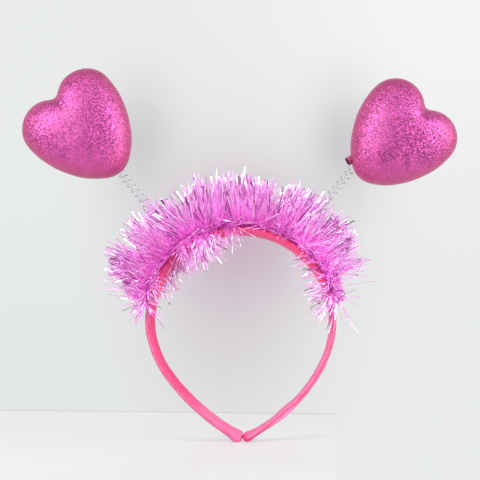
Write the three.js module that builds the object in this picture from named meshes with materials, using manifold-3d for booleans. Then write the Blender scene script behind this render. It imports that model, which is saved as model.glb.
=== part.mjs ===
// Heart headband: a satin-covered band, a tinsel garland over its crown and two hearts on coil springs.
// Lengths are in millimetres and angles in degrees. The origin is the middle of the crown's inner face.
// +Z is up and -Y is the front. A heading is measured from the top of the crown, positive to the right.
import * as THREE from "three";
import { LoftGeometry } from "three/addons/geometries/LoftGeometry.js";
import { mergeVertices } from "three/addons/utils/BufferGeometryUtils.js";
import Module from "manifold-3d";

// Clearance between neighbouring pieces
const GAP = 0.3;

// Band
const CROWN_RADIUS = 59;
const CROWN_DROP = 56.5;
const BAND_WIDTH = 8.5;
const BAND_THICKNESS = 4.7;
const BAND_SIDES = 12;
const BAND_STEP = 5;
const TIP_LENGTH = 3.2;
const TIP_STEPS = [0.2, 0.45, 0.7, 1];
const RIGHT_LEG = { start: 115, end: 158.1, radius: 98.8 };
const LEFT_LEG = { start: -126, end: -153.7, radius: 132.6 };
const BAND_SECTIONS = [
  { heading: -160, turn: 74, shift: 0.2 },
  { heading: -152.5, turn: 62, shift: 0.2 },
  { heading: -150, turn: 44, shift: -0.3 },
  { heading: -147, turn: 32, shift: -0.6 },
  { heading: -138, turn: 29, shift: -1 },
  { heading: -118, turn: 24, shift: -0.9 },
  { heading: -106, turn: 25, shift: -0.6 },
  { heading: -96, turn: 28, shift: 0 },
  { heading: -80, turn: 33, shift: 0 },
  { heading: 0, turn: 25, shift: 0 },
  { heading: 60, turn: 12, shift: 0 },
  { heading: 115, turn: 2, shift: 0.1 },
  { heading: 150, turn: 4, shift: 0.1 },
  { heading: 160, turn: 40, shift: 0.8 },
];

// Hearts
const HEART_HALF_DEPTH = 20;
const HEART_RINGS = 7;
const HEART_CORE_RADIUS = 30;
const HEART_NOTCH = 25;
const HEART_ARCS = [
  { across: 15.3, along: 12.7, radius: 18.85, from: 136, to: 0, steps: 9 },
  { across: -24.4, along: 12.7, radius: 58.5, from: 0, to: -55, steps: 7 },
  { across: 0, along: -22.1, radius: 16, from: -55, to: -90, steps: 3 },
];
const HEARTS = {
  left: { x: -103.3, z: 70.1, lean: -42, size: 1 },
  right: { x: 102.6, z: 64.2, lean: 44, size: 0.98 },
};
const STUB = { x: 67.3, z: 46.85, lean: 60, length: 12, radius: 3.1 };

// Springs
const COIL_RADIUS = 2.5;
const WIRE_RADIUS = 0.25;
const WIRE_SIDES = 4;
const COIL_STEPS = 8;
const CLOSED_PITCH = 0.8;
const SPRINGS = {
  left: { heading: -38.5, rise: 62.5, lean: -39.1, length: 68.8, openTurns: 16.4 },
  right: { heading: 32.9, rise: 62.6, lean: 39.1, length: 66.5, openTurns: 15.8 },
};
const CHANNEL_RADIUS = COIL_RADIUS + WIRE_RADIUS + GAP;

// Tinsel
const CORE = { start: -80, end: 78, rise: 64.6, halfWidth: 5.6, halfThickness: 2.4, sides: 8, steps: 22 };
const LOCK_REACH = { full: 0.66, left: 0.86, right: 0.56 };
const LOCK_COMB = { full: 0.66, left: 22, right: -30 };
const LOCK_ROWS = [
  { lean: -78, count: 9, length: 27, width: 5 },
  { lean: -38, count: 20, length: 33, width: 7.2 },
  { lean: 0, count: 27, length: 33, width: 8 },
  { lean: 38, count: 20, length: 33, width: 7.2 },
  { lean: 78, count: 9, length: 27, width: 5 },
];
const END_LOCKS = [
  { heading: -79, lean: -30, slant: -30, length: 21, width: 4 },
  { heading: -79, lean: 30, slant: -58, length: 14, width: 4 },
  { heading: 77, lean: -30, slant: 78, length: 16, width: 4 },
  { heading: 77, lean: 30, slant: 62, length: 14, width: 4 },
];
const HANGING_LOCKS = [
  { start: -78, end: -50, count: 3, length: 8, drift: 4, side: -1 },
  { start: -46, end: -20, count: 7, length: 17, drift: -4, side: -1 },
  { start: -20, end: 14, count: 4, length: 8, drift: -1, side: -1 },
  { start: 46, end: 77, count: 7, length: 13, drift: 8, side: -1 },
  { start: -56, end: 66, count: 4, length: 10, drift: 0, side: 1 },
];

// Finishes
const SATIN = { color: 0xf87099, roughness: 0.55, metalness: 0 };
const GLITTER = { color: 0xcd559e, roughness: 0.4, metalness: 0.3 };
const STEEL = { color: 0xb9bcc0, roughness: 0.3, metalness: 1 };
const FILM = { color: 0xe188d2, roughness: 0.3, metalness: 0.4 };

const SIDE = new THREE.Vector3(0, 1, 0);
const CROWN_CENTRE = new THREE.Vector3(0, 0, -CROWN_DROP);
const { degToRad, lerp, clamp } = THREE.MathUtils;
const wasm = await Module();
wasm.setup();

// Unit vector in the upright plane at a heading, and the one along the band at it.
function outward(heading) {
  return new THREE.Vector3(Math.sin(degToRad(heading)), 0, Math.cos(degToRad(heading)));
}

function onward(heading) {
  return outward(heading + 90);
}

// Repeatable scatter from 0 to 1 for a whole number.
function scatter(n) {
  const wave = Math.sin(n * 12.9898) * 43758.5453;
  return wave - Math.floor(wave);
}

// Closed solid of a geometry, for joining and cutting.
function solidOf(geometry) {
  const bare = new THREE.BufferGeometry().copy(geometry);
  bare.deleteAttribute("normal");
  bare.deleteAttribute("uv");
  const welded = mergeVertices(bare, 1e-4);
  const triVerts = new Uint32Array(welded.index.array);
  const vertProperties = welded.attributes.position.array;
  return new wasm.Manifold(new wasm.Mesh({ numProp: 3, vertProperties, triVerts }));
}

// Geometry of a solid's largest body.
function geometryOf(solid) {
  const bodies = solid.decompose().sort((a, b) => b.volume() - a.volume());
  const mesh = bodies[0].getMesh();
  const geometry = new THREE.BufferGeometry();
  geometry.setAttribute("position", new THREE.BufferAttribute(mesh.vertProperties, 3));
  geometry.setIndex(new THREE.BufferAttribute(mesh.triVerts, 1));
  geometry.computeVertexNormals();
  return geometry;
}

function capped(sections) {
  return new LoftGeometry(sections, { capStart: true, capEnd: true });
}

function rod(start, direction, length, radius, sides) {
  const geometry = new THREE.CylinderGeometry(radius, radius, length, sides);
  geometry.applyQuaternion(new THREE.Quaternion().setFromUnitVectors(SIDE, direction));
  const middle = start.clone().addScaledVector(direction, length / 2);
  return geometry.translate(middle.x, middle.y, middle.z);
}

// Centreline of the band: the crown's arc, running on into the flatter arc of each leg.
function bandPoint(heading) {
  const leg = heading > 0 ? RIGHT_LEG : LEFT_LEG;
  const point = CROWN_CENTRE.clone();
  if (Math.abs(heading) <= Math.abs(leg.start)) {
    return point.addScaledVector(outward(heading), CROWN_RADIUS);
  }
  point.addScaledVector(outward(leg.start), CROWN_RADIUS - leg.radius);
  return point.addScaledVector(outward(heading), leg.radius);
}

// Turn of the section about the centreline and its shift outwards, between the rows on either side.
function bandSection(heading) {
  const next = BAND_SECTIONS.findIndex((row) => row.heading >= heading);
  const from = BAND_SECTIONS[next - 1];
  const to = BAND_SECTIONS[next];
  const share = (heading - from.heading) / (to.heading - from.heading);
  return { turn: lerp(from.turn, to.turn, share), shift: lerp(from.shift, to.shift, share) };
}

// Oval ring across the band, flattened on its faces and turned about the centreline.
function bandRing(heading, scale, grow) {
  const section = bandSection(heading);
  const turn = degToRad(section.turn);
  const out = outward(heading);
  const middle = bandPoint(heading).addScaledVector(out, section.shift);
  const thick = out.clone().multiplyScalar(Math.cos(turn)).addScaledVector(SIDE, Math.sin(turn));
  const wide = SIDE.clone().multiplyScalar(Math.cos(turn)).addScaledVector(out, -Math.sin(turn));
  const flatten = (value) => Math.sign(value) * Math.abs(value) ** 0.85;
  const ring = [];
  for (let k = 0; k < BAND_SIDES; k += 1) {
    const angle = (2 * Math.PI * k) / BAND_SIDES;
    const rise = ((BAND_THICKNESS / 2) * scale + grow) * flatten(Math.cos(angle));
    const reach = ((BAND_WIDTH / 2) * scale + grow) * flatten(Math.sin(angle));
    ring.push(middle.clone().addScaledVector(thick, rise).addScaledVector(wide, -reach));
  }
  return ring;
}

// Rounded tip of a leg, as rings that grow from its end.
function tipRings(leg, grow) {
  const perMillimetre = (Math.sign(leg.end) * 180) / (Math.PI * leg.radius);
  return TIP_STEPS.map((step) => {
    const setback = TIP_LENGTH * (1 - Math.sin((step * Math.PI) / 2)) ** 0.5;
    const inward = TIP_LENGTH - setback;
    return bandRing(leg.end - inward * perMillimetre, Math.sin((step * Math.PI) / 2) ** 0.6, grow);
  });
}

function bandGeometry(grow) {
  const rings = tipRings(LEFT_LEG, grow);
  for (let heading = LEFT_LEG.end + 4; heading < RIGHT_LEG.end - 3; heading += BAND_STEP) {
    rings.push(bandRing(heading, 1, grow));
  }
  rings.push(...tipRings(RIGHT_LEG, grow).reverse());
  return capped(rings);
}

// Rim of a heart, from its notch round the right lobe to the tip and back round the left one.
function heartRim() {
  const half = [];
  for (const arc of HEART_ARCS) {
    for (let k = 0; k < arc.steps; k += 1) {
      const angle = degToRad(lerp(arc.from, arc.to, k / arc.steps));
      const across = arc.across + arc.radius * Math.cos(angle);
      half.push(new THREE.Vector2(across, arc.along + arc.radius * Math.sin(angle)));
    }
  }
  const tip = HEART_ARCS[2].along - HEART_ARCS[2].radius;
  const mirrored = half.map((point) => new THREE.Vector2(-point.x, point.y)).reverse();
  return [new THREE.Vector2(0, HEART_NOTCH), ...half, new THREE.Vector2(0, tip), ...mirrored];
}

// Puffy heart: rings that shrink from the rim to the middle of each face and grow rounder on the way.
function heartGeometry(placing) {
  const along = outward(placing.lean);
  const across = onward(placing.lean);
  const rim = heartRim();
  const sections = [];
  for (let k = 1 - HEART_RINGS; k < HEART_RINGS; k += 1) {
    const swing = ((Math.PI / 2) * k) / (HEART_RINGS - 0.4);
    const share = Math.cos(swing) ** 0.85;
    const depth = Math.sign(swing) * HEART_HALF_DEPTH * Math.abs(Math.sin(swing)) ** 0.92;
    const section = rim.map((point) => {
      const round = point.clone().setLength(HEART_CORE_RADIUS);
      const flat = point.clone().lerp(round, (1 - share) ** 1.5).multiplyScalar(share * placing.size);
      const place = new THREE.Vector3(placing.x, depth, placing.z);
      return place.addScaledVector(across, flat.x).addScaledVector(along, flat.y);
    });
    sections.push(section);
  }
  return capped(sections);
}

function springBase(spring) {
  return CROWN_CENTRE.clone().addScaledVector(outward(spring.heading), spring.rise);
}

// Coil spring: a round wire along a helix, with one closed turn at each end.
function springGeometry(spring) {
  const base = springBase(spring);
  const axis = outward(spring.lean);
  const across = onward(spring.lean);
  const turns = spring.openTurns + 2;
  const openPitch = (spring.length - 2 * CLOSED_PITCH) / spring.openTurns;
  const steps = Math.round(turns * COIL_STEPS);
  const sections = [];
  for (let k = 0; k <= steps; k += 1) {
    const turn = (turns * k) / steps;
    const open = clamp(turn - 1, 0, spring.openTurns);
    const rise = open * openPitch + (turn - open) * CLOSED_PITCH;
    const angle = 2 * Math.PI * turn;
    const radial = across.clone().multiplyScalar(Math.cos(angle)).addScaledVector(SIDE, Math.sin(angle));
    const ahead = across.clone().multiplyScalar(-Math.sin(angle)).addScaledVector(SIDE, Math.cos(angle));
    const slope = turn > 1 && turn < turns - 1 ? openPitch : CLOSED_PITCH;
    ahead.multiplyScalar(2 * Math.PI * COIL_RADIUS).addScaledVector(axis, slope).normalize();
    const upright = new THREE.Vector3().crossVectors(ahead, radial);
    const centre = base.clone().addScaledVector(axis, rise).addScaledVector(radial, COIL_RADIUS);
    const section = [];
    for (let j = 0; j < WIRE_SIDES; j += 1) {
      const round = (2 * Math.PI * j) / WIRE_SIDES;
      const point = centre.clone().addScaledVector(radial, WIRE_RADIUS * Math.cos(round));
      section.push(point.addScaledVector(upright, WIRE_RADIUS * Math.sin(round)));
    }
    sections.push(section);
  }
  return capped(sections);
}

// Room for a spring: its whole length with clearance round it, and the blind socket in the heart.
function springRoom(spring) {
  const axis = outward(spring.lean);
  const start = springBase(spring).addScaledVector(axis, -WIRE_RADIUS - GAP);
  return solidOf(rod(start, axis, spring.length + 2 * (WIRE_RADIUS + GAP), CHANNEL_RADIUS, 14));
}

// Core of the garland, an oval cord laid along the outside of the crown.
function coreGeometry() {
  const sections = [];
  for (let step = 0; step <= CORE.steps; step += 1) {
    const heading = lerp(CORE.start, CORE.end, step / CORE.steps);
    const section = [];
    for (let k = 0; k < CORE.sides; k += 1) {
      const angle = (2 * Math.PI * k) / CORE.sides;
      const point = CROWN_CENTRE.clone();
      point.addScaledVector(outward(heading), CORE.rise + CORE.halfThickness * Math.cos(angle));
      section.push(point.addScaledVector(SIDE, -CORE.halfWidth * Math.sin(angle)));
    }
    sections.push(section);
  }
  return capped(sections);
}

// Lock of tinsel: a flat strip that widens from its root and narrows to its end.
function lockSolid(points, widths, across) {
  const sections = points.map((point, k) => {
    const from = points[Math.max(k - 1, 0)];
    const to = points[Math.min(k + 1, points.length - 1)];
    const ahead = to.clone().sub(from).normalize();
    const wide = across.clone().addScaledVector(ahead, -across.dot(ahead)).normalize();
    const thick = new THREE.Vector3().crossVectors(ahead, wide);
    const depth = k === points.length - 1 ? 0.3 : 0.6;
    return [
      point.clone().addScaledVector(wide, widths[k] / 2),
      point.clone().addScaledVector(thick, depth),
      point.clone().addScaledVector(wide, -widths[k] / 2),
      point.clone().addScaledVector(thick, -depth),
    ];
  });
  return solidOf(capped(sections));
}

// Share of a lock's full length at a place along the core, -1 at its left end to 1 at its right.
function lockReach(place) {
  const past = clamp((Math.abs(place) - LOCK_REACH.full) / (1 - LOCK_REACH.full), 0, 1);
  return lerp(1, place < 0 ? LOCK_REACH.left : LOCK_REACH.right, past);
}

// Slant of a lock at its place along the core: near the ends it is combed towards the top of the crown.
function lockComb(place) {
  const past = clamp((Math.abs(place) - LOCK_COMB.full) / (1 - LOCK_COMB.full), 0, 1);
  return past * (place < 0 ? LOCK_COMB.left : LOCK_COMB.right);
}

// One straight lock, rooted in the core at a heading and leaning to the back and along the band.
function straightLock(heading, leanDegrees, slant, length, width, face) {
  const lean = degToRad(leanDegrees);
  const out = outward(heading);
  const root = CROWN_CENTRE.clone();
  root.addScaledVector(out, CORE.rise + 0.5 * CORE.halfThickness * Math.cos(lean));
  root.addScaledVector(SIDE, 0.75 * CORE.halfWidth * Math.sin(lean));
  const ahead = out.clone().multiplyScalar(Math.cos(lean)).addScaledVector(SIDE, Math.sin(lean));
  ahead.addScaledVector(onward(heading), Math.tan(degToRad(slant))).normalize();
  const level = new THREE.Vector3().crossVectors(ahead, SIDE.clone().addScaledVector(out, 0.2));
  const across = level.normalize().applyAxisAngle(ahead, degToRad(face));
  const points = [1, 0.6 * length, length].map((reach) => root.clone().addScaledVector(ahead, reach));
  return lockSolid(points, [3.6, width, 3], across);
}

// Locks that stand out from the core all round its upper side, and those that splay at its ends.
function standingLocks() {
  const locks = END_LOCKS.map((row) => {
    return straightLock(row.heading, row.lean, row.slant, row.length, row.width, 0);
  });
  LOCK_ROWS.forEach((row, rowIndex) => {
    for (let k = 0; k < row.count; k += 1) {
      const seed = 100 * rowIndex + k;
      const share = (k + 0.5 + 0.5 * (scatter(seed + 0.1) - 0.5)) / row.count;
      const heading = lerp(CORE.start, CORE.end, share);
      const lean = row.lean + 16 * (scatter(seed + 0.2) - 0.5);
      const slant = 14 * (scatter(seed + 0.3) - 0.5) + lockComb(2 * share - 1);
      const length = row.length * lockReach(2 * share - 1) * (0.86 + 0.22 * scatter(seed + 0.4));
      const face = 36 * (scatter(seed + 0.5) - 0.5);
      locks.push(straightLock(heading, lean, slant, length, row.width, face));
    }
  });
  return locks;
}

// Locks that hang past the front or the back of the band into the arch.
function hangingLocks() {
  const locks = [];
  HANGING_LOCKS.forEach((row, rowIndex) => {
    for (let k = 0; k < row.count; k += 1) {
      const seed = 900 + 50 * rowIndex + k;
      const heading = lerp(row.start, row.end, (k + 0.5) / row.count);
      const length = row.length * (0.65 + 0.5 * scatter(seed + 0.1));
      const drift = row.drift + 8 * (scatter(seed + 0.2) - 0.5);
      const stops = [
        { rise: CORE.rise, side: 4.4, drift: 0 },
        { rise: CROWN_RADIUS + 2, side: 7.4, drift: 0 },
        { rise: CROWN_RADIUS - 3, side: 7.8, drift: 0.2 * drift },
        { rise: CROWN_RADIUS - 3 - length, side: 7.2, drift },
      ];
      const points = stops.map((stop) => {
        const point = CROWN_CENTRE.clone().addScaledVector(outward(heading), stop.rise);
        point.addScaledVector(SIDE, row.side * stop.side);
        return point.addScaledVector(onward(heading), stop.drift);
      });
      locks.push(lockSolid(points, [1.8, 2.4, 3.2, 1.4], onward(heading)));
    }
  });
  return locks;
}

function tinselGeometry() {
  const locks = wasm.Manifold.union([solidOf(coreGeometry()), ...standingLocks(), ...hangingLocks()]);
  const room = [solidOf(bandGeometry(GAP)), springRoom(SPRINGS.left), springRoom(SPRINGS.right)];
  return geometryOf(locks.subtract(wasm.Manifold.union(room)).simplify(0.1));
}

function leftHeartGeometry() {
  return geometryOf(solidOf(heartGeometry(HEARTS.left)).subtract(springRoom(SPRINGS.left)));
}

function rightHeartGeometry() {
  const end = new THREE.Vector3(STUB.x, 0, STUB.z);
  const stub = solidOf(rod(end, outward(STUB.lean), STUB.length, STUB.radius, 14));
  return geometryOf(solidOf(heartGeometry(HEARTS.right)).add(stub).subtract(springRoom(SPRINGS.right)));
}

const headband = new THREE.Group();
function addPiece(name, geometry, finish) {
  const mesh = new THREE.Mesh(geometry, new THREE.MeshStandardMaterial(finish));
  mesh.name = name;
  headband.add(mesh);
}

addPiece("covered_band", bandGeometry(0), SATIN);
addPiece("tinsel_garland", tinselGeometry(), FILM);
addPiece("spring_left", springGeometry(SPRINGS.left), STEEL);
addPiece("spring_right", springGeometry(SPRINGS.right), STEEL);
addPiece("heart_left", leftHeartGeometry(), GLITTER);
addPiece("heart_right", rightHeartGeometry(), GLITTER);

export default headband;
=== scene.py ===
# %% [markdown]
# Heart headband
# This lesson dresses a party headband: a satin-covered band, a tinsel garland over its crown, and two
# glittered hearts that bob on coil springs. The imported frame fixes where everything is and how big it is.
# Blender adds what plain solids can't carry: cloth folds, thousands of film strands, glitter, soft light.

# %% Load the frame
import bpy
import numpy as np
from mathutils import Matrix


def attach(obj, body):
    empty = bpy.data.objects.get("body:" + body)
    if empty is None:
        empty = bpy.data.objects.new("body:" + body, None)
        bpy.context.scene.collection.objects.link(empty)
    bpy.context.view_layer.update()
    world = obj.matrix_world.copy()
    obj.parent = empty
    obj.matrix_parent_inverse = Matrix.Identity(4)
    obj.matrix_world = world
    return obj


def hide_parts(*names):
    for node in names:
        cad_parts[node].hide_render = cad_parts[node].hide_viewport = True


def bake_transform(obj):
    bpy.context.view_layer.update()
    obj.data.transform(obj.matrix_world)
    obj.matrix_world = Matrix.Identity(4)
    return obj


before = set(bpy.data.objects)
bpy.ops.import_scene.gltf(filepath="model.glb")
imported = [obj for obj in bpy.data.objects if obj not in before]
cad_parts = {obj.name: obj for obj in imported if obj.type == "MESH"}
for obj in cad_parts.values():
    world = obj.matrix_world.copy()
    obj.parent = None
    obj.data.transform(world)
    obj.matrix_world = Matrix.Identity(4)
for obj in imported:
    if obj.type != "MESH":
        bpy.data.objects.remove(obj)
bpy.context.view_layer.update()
MM = 0.001
scene = bpy.context.scene

# %% [markdown]
# The camera stands level, a metre in front of the crown, and looks straight at it. A long lens keeps the
# two hearts from spreading. Its length follows from the width that the picture takes in at the crown.

# %% Camera
CAMERA_AWAY = 1.0
VIEW_WIDTH = 0.312
VIEW_MIDDLE = {"X": -0.00065, "Z": -0.0032}
camera_data = bpy.data.cameras.new("front_camera")
camera_data.lens = camera_data.sensor_width * CAMERA_AWAY / VIEW_WIDTH
camera = bpy.data.objects.new("front_camera", camera_data)
camera.location = (VIEW_MIDDLE["X"], -CAMERA_AWAY, VIEW_MIDDLE["Z"])
camera.rotation_euler = (np.pi / 2, 0, 0)
scene.collection.objects.link(camera)
scene.camera = camera
scene.view_settings.view_transform = "Standard"
print("lens of", round(camera_data.lens, 1), "mm")

# %% [markdown]
# Every piece here is a grid of points: a closed ring carried along a path. Blender could loft curves, but
# numpy works the whole grid out at once, so a fold or a ripple is one more formula on the same arrays.
# First come a few formulas that several pieces share.

# %% Helpers for shapes
SIDE = np.array([0.0, 1.0, 0.0])


def outward(heading):
    """Unit vectors in the upright plane: sine of the heading across, cosine of it up, in degrees."""
    angle = np.radians(np.asarray(heading, float))
    return np.stack([np.sin(angle), np.zeros_like(angle), np.cos(angle)], axis=-1)


def unit(vectors):
    """Vectors divided by their own lengths."""
    return vectors / np.maximum(np.linalg.norm(vectors, axis=-1, keepdims=True), 1e-12)


def smooth_step(low, high, value):
    """3t^2 - 2t^3, with t the share of the way from low to high, held between 0 and 1."""
    share = np.clip((value - low) / (high - low), 0, 1)
    return share * share * (3 - 2 * share)


def run_along(points):
    """Length from the first point to each: the running sum of the steps between neighbours."""
    return np.concatenate([[0], np.cumsum(np.linalg.norm(np.diff(points, axis=0), axis=1))])


def wandering(places, waves, seed):
    """Slow wander about 0: the sum of seeded sines of several wavelengths over the root of their number."""
    phases = np.random.default_rng(seed).uniform(0, 2 * np.pi, len(waves))
    sines = (np.sin(2 * np.pi * places / wave + phase) for wave, phase in zip(waves, phases))
    return sum(sines) / len(waves) ** 0.5


print("straight up is", outward(0))

# %% [markdown]
# The next helpers skin a grid of rings, turn its faces outwards and put it into a mesh at the origin. A UV
# map goes with it, so a finish can follow the surface, and a piece can carry painted masks of its own.

# %% Helpers for meshes
def ring_quads(rows, columns):
    """Corner numbers of the quads between neighbouring rings, each ring closed on itself."""
    first = np.arange(rows - 1)[:, None] * columns
    here = np.arange(columns)[None, :]
    after = (here + 1) % columns
    second = first + columns
    return np.stack([first + here, first + after, second + after, second + here], axis=-1).reshape(-1, 4)


def signed_volume(points, faces):
    """Volume inside closed quads: a sixth of the sum of a . (b x c) over the triangles of every quad."""
    a, b, c, d = (points[faces[:, k]] for k in range(4))
    return float(np.sum(a * np.cross(b, c)) + np.sum(a * np.cross(c, d))) / 6


def ring_normals(rings):
    """Unit normals of a grid of rings: the step along the path crossed with the step round the ring."""
    along = np.gradient(rings, axis=0)
    around = np.roll(rings, -1, axis=1) - np.roll(rings, 1, axis=1)
    normals = unit(np.cross(along, around))
    middle = rings.mean(axis=1, keepdims=True)
    return normals * np.sign(np.sum(normals * (rings - middle)))


def put_mesh(name, points, quads, caps, smooth):
    """Mesh object at the origin from points in millimetres, with its faces turned outwards."""
    turned = signed_volume(points, quads) < 0
    faces = quads[:, ::-1] if turned else quads
    ends = [(cap[::-1] if turned else cap).tolist() for cap in caps]
    mesh = bpy.data.meshes.new(name)
    mesh.from_pydata((points * MM).tolist(), [], faces.tolist() + ends)
    mesh.polygons.foreach_set("use_smooth", np.full(len(mesh.polygons), smooth))
    mesh.update()
    piece = bpy.data.objects.new(name, mesh)
    scene.collection.objects.link(piece)
    return piece, turned


def put_rings(name, rings):
    """Closed smooth surface over a grid of rings in millimetres, with a flat cap on the first and the last.

    Its UV map runs from 0 to 1 along the path and from 0 to 1 round the ring."""
    rows, columns, _ = rings.shape
    quads = ring_quads(rows, columns)
    first = np.arange(columns)
    caps = [first[::-1], first + (rows - 1) * columns]
    piece, turned = put_mesh(name, rings.reshape(-1, 3), quads, caps, True)
    u = np.linspace(0, 1, rows)
    v = np.linspace(0, 1, columns + 1)
    row, column = np.divmod(np.arange(len(quads)), columns)
    corner_u = np.stack([u[row], u[row], u[row + 1], u[row + 1]], axis=-1)
    corner_v = np.stack([v[column], v[column + 1], v[column + 1], v[column]], axis=-1)
    corners = np.stack([corner_u, corner_v], axis=-1)
    corners = corners[:, ::-1] if turned else corners
    cap_corners = np.repeat([[0.0, 0.0], [1.0, 1.0]], columns, axis=0)
    layer = piece.data.uv_layers.new(name="skin")
    layer.data.foreach_set("uv", np.concatenate([corners.reshape(-1, 2), cap_corners]).ravel())
    return piece


def paint_points(piece, name, values):
    """One number for each point of a piece, kept as a named attribute for its material."""
    attribute = piece.data.attributes.new(name, "FLOAT", "POINT")
    attribute.data.foreach_set("value", np.asarray(values, np.float32).ravel())


def triangle_count(piece):
    """Triangles of a piece: corners of every face less two."""
    totals = np.empty(len(piece.data.polygons), np.int32)
    piece.data.polygons.foreach_get("loop_total", totals)
    return int(np.sum(totals - 2))


print("two rings of four points take", len(ring_quads(2, 4)), "quads")

# %% [markdown]
# Colours are easiest to name as paint values from 0 to 255, but a shader works in linear light. One helper
# turns one into the other. The rest add nodes to a material: an input that is given another node's socket
# is linked, and one that is given a plain number or colour is set.

# %% Helpers for finishes
# A Mix node that is set to colours has its share, its two colours and its result at these places.
MIX_SHARE, MIX_FIRST, MIX_SECOND, MIX_RESULT = 0, 6, 7, 2


def paint(red, green, blue):
    """Linear colour of a paint value: each channel over 255, through the screen's own curve backwards."""
    value = np.array([red, green, blue]) / 255
    linear = np.where(value <= 0.04045, value / 12.92, ((value + 0.055) / 1.055) ** 2.4)
    return (*map(float, linear), 1.0)


def feed(tree, node, values):
    """Inputs of a node by name or number: a socket is linked, a plain number or colour is set."""
    for place, value in values.items():
        if isinstance(value, bpy.types.NodeSocket):
            tree.links.new(value, node.inputs[place])
        else:
            node.inputs[place].default_value = value


def add_node(tree, kind, values=None, **settings):
    """New node in a tree, with its settings and the values of its inputs."""
    node = tree.nodes.new(kind)
    for name, setting in settings.items():
        setattr(node, name, setting)
    feed(tree, node, values or {})
    return node


def sum_of(tree, operation, *values):
    """Math node on sockets or plain numbers; its result."""
    return add_node(tree, "ShaderNodeMath", dict(enumerate(values)), operation=operation).outputs[0]


def vector_of(tree, operation, *values):
    """Vector Math node on sockets or plain vectors; its result."""
    return add_node(tree, "ShaderNodeVectorMath", dict(enumerate(values)), operation=operation).outputs[0]


def blend_of(tree, share, first, second):
    """Mix of two colours by a mask; its result."""
    values = {MIX_SHARE: share, MIX_FIRST: first, MIX_SECOND: second}
    return add_node(tree, "ShaderNodeMix", values, data_type="RGBA").outputs[MIX_RESULT]


def range_of(tree, value, taken=(0, 1), given=(0, 1), shape="LINEAR"):
    """Map Range node: the way of a value through the taken range, laid over the given range; its result."""
    ends = dict(zip(("From Min", "From Max", "To Min", "To Max"), (*taken, *given)))
    node = add_node(tree, "ShaderNodeMapRange", {"Value": value, **ends}, interpolation_type=shape)
    return node.outputs["Result"]


def axes_of(tree, vector):
    """Outputs X, Y and Z of a vector."""
    return add_node(tree, "ShaderNodeSeparateXYZ", {"Vector": vector}).outputs


def object_place(tree):
    """Coordinates of a point in its object's own frame."""
    return add_node(tree, "ShaderNodeTexCoord").outputs["Object"]


def mask_of(tree, name):
    """A painted mask of the piece, by its attribute's name."""
    return add_node(tree, "ShaderNodeAttribute", attribute_name=name).outputs["Fac"]


def new_finish(name):
    """Material with one Principled shader, ready for its nodes."""
    material = bpy.data.materials.new(name)
    material.use_nodes = True
    tree = material.node_tree
    tree.nodes.clear()
    skin = add_node(tree, "ShaderNodeBsdfPrincipled")
    add_node(tree, "ShaderNodeOutputMaterial", {"Surface": skin.outputs["BSDF"]})
    return material, tree, skin


print("middle grey is", round(paint(128, 128, 128)[0], 3), "in linear light")

# %% [markdown]
# Two effects serve several finishes, so each is a node group made once. Soft clouds keep a colour from
# being dead flat. Flakes tilt like chips of glitter or foil: their cells are turned off the axes, because
# rows of cells that line up with a flat face would look woven.

# %% Shared effects
FLAKE_TURN = (0.6, 0.45, 0.9)
CLOUD_EDGES = (0.32, 0.68)


def new_group(name, inputs, outputs):
    """Empty shader node group with named sockets, and its two end nodes."""
    group = bpy.data.node_groups.new(name, "ShaderNodeTree")
    kinds = {"vector": "NodeSocketVector", "number": "NodeSocketFloat", "colour": "NodeSocketColor"}
    for way, sockets in (("INPUT", inputs), ("OUTPUT", outputs)):
        for socket, kind in sockets.items():
            group.interface.new_socket(socket, in_out=way, socket_type=kinds[kind])
    return group, group.nodes.new("NodeGroupInput").outputs, group.nodes.new("NodeGroupOutput")


def effect(tree, group, where, **values):
    """Outputs of a shared group placed in a material, fed with coordinates and its own values."""
    named = {name.replace("_", " "): value for name, value in values.items()}
    return add_node(tree, "ShaderNodeGroup", {"Coordinates": where, **named}, node_tree=group).outputs


def make_soft_clouds():
    """Group of soft clouds: noise at a size, pushed to a mask, and two colours mixed by that mask."""
    inputs = {"Coordinates": "vector", "Clouds per metre": "number", "Dark": "colour", "Light": "colour"}
    group, given, end = new_group("soft_clouds", inputs, {"Colour": "colour", "Mask": "number"})
    values = {"Vector": given["Coordinates"], "Scale": given["Clouds per metre"]}
    values |= {"Detail": 3, "Roughness": 0.55}
    noise = add_node(group, "ShaderNodeTexNoise", values).outputs["Fac"]
    mask = range_of(group, noise, CLOUD_EDGES, shape="SMOOTHSTEP")
    feed(group, end, {"Colour": blend_of(group, mask, given["Dark"], given["Light"]), "Mask": mask})
    return group


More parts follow.
